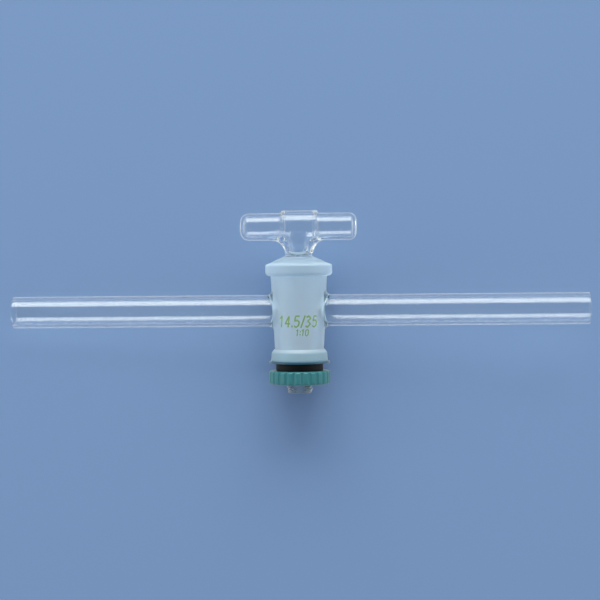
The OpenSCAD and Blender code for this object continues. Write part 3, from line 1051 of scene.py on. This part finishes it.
def lay_floor(finish):
    """A square of card, just under the stopcock."""
    square = np.array([[-1, -1, 0], [1, -1, 0], [1, 1, 0], [-1, 1, 0]]) * FLOOR_HALF
    floor = linked("floor", filled_mesh("floor", square + [0, 0, FLOOR_Z], np.array([[0, 1, 2, 3]])))
    floor.data.materials.append(paper_card(finish))


def set_surroundings(scene, finish):
    """Light from all round: plain to the camera, dimmer on matt faces, and where glass mirrors or
    passes it, fading from the horizon to the zenith."""
    world = bpy.data.worlds.new("soft_surroundings")
    scene.world = world
    world.use_nodes = True
    world.node_tree.nodes.clear()

    def glow(strength, links=None):
        values = {"Color": (*finish.sky, 1), "Strength": strength}
        return add_node(world, "Background", values, links), "Background"

    path = add_node(world, "LightPath")
    way = add_node(world, "TexCoord")
    axes = add_node(world, "SeparateXYZ", None, {"Vector": (way, "Generated")})
    level = add_node(
        world, "MapRange",
        {"From Min": 0.0, "From Max": 0.7, "To Min": finish.horizon, "To Max": finish.zenith},
        {"Value": (axes, "Z")},
    )
    shiny = mirror_share(world, path, operation="MAXIMUM")
    unseen = mixed(world, shiny, glow(finish.ambient), glow(1.0, {"Strength": (level, "Result")}))
    both = mixed(world, (path, "Is Camera Ray"), unseen, glow(1.0))
    add_node(world, "OutputWorld", None, {"Surface": both})


def hang_softboxes(finish):
    """Rectangular softboxes round the stopcock, turned to face it and unseen by the camera."""
    for name, turn, level, tilt, long, wide in SOFTBOXES:
        lamp = bpy.data.lights.new(name, "AREA")
        lamp.shape, lamp.size, lamp.size_y = "RECTANGLE", long, wide
        lamp.color = LAMP_COLOUR
        lamp.energy = finish.lamp * level * pi * long * wide
        box = linked(name, lamp)
        place = Matrix.Rotation(radians(turn), 4, "Z") @ Matrix.Rotation(radians(-tilt), 4, "X")
        box.matrix_world = Matrix.Translation(LAMP_AIM) @ place @ Matrix.Translation((0, 0, LAMP_AWAY))
        box.visible_camera = False


def set_camera(scene):
    """A long lens, looking straight down."""
    camera = bpy.data.cameras.new("camera")
    camera.lens, camera.sensor_width = LENS, 36
    camera.clip_start = 0.01
    eye = linked("camera", camera)
    eye.location = EYE
    eye.rotation_euler = (0, 0, radians(EYE_TURN))
    scene.camera = eye
    scene.view_settings.view_transform = "Standard"


class STOPCOCK_OT_stage(bpy.types.Operator):
    """Lay the floor, set the softboxes and the camera"""

    bl_idname = "stopcock.stage"
    bl_label = "Stage"

    def execute(self, context):
        scene, finish = context.scene, context.scene.stopcock.finish
        lay_floor(finish)
        set_surroundings(scene, finish)
        hang_softboxes(finish)
        set_camera(scene)
        # A ray straight down meets up to twelve faces of nested glass, and reflections add more
        scene.cycles.max_bounces = 40
        scene.cycles.transmission_bounces = 40
        scene.cycles.glossy_bounces = 24
        return {"FINISHED"}


class STOPCOCK_PT_panel(bpy.types.Panel):
    """Sizes, finishes and the steps that build the stopcock"""

    bl_idname = "STOPCOCK_PT_panel"
    bl_label = "Glass Stopcock"
    bl_space_type = "VIEW_3D"
    bl_region_type = "UI"
    bl_category = "Stopcock"

    def draw(self, context):
        for group in ("barrel", "plug", "seal", "finish"):
            column = self.layout.column(align=True)
            column.label(text=group.capitalize())
            data = getattr(context.scene.stopcock, group)
            for key in data.__annotations__:
                column.prop(data, key)
        for step in STEPS:
            self.layout.operator(f"stopcock.{step}")


STEPS = ("stage", "barrel", "plug", "seals", "nut", "mark")
CLASSES = (
    BarrelSizes, PlugSizes, SealSizes, Finishes, Stopcock,
    STOPCOCK_OT_stage, STOPCOCK_OT_barrel, STOPCOCK_OT_plug, STOPCOCK_OT_seals, STOPCOCK_OT_nut,
    STOPCOCK_OT_mark, STOPCOCK_PT_panel,
)


def register():
    for item in CLASSES:
        bpy.utils.register_class(item)
    bpy.types.Scene.stopcock = PointerProperty(
        name="Stopcock", description="Sizes and finishes of the stopcock", type=Stopcock
    )


def unregister():
    del bpy.types.Scene.stopcock
    for item in reversed(CLASSES):
        bpy.utils.unregister_class(item)


def main():
    """Builds every piece in turn."""
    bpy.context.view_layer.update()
    register()
    for step in STEPS:
        getattr(bpy.ops.stopcock, step)()


if __name__ == "__main__":
    main()
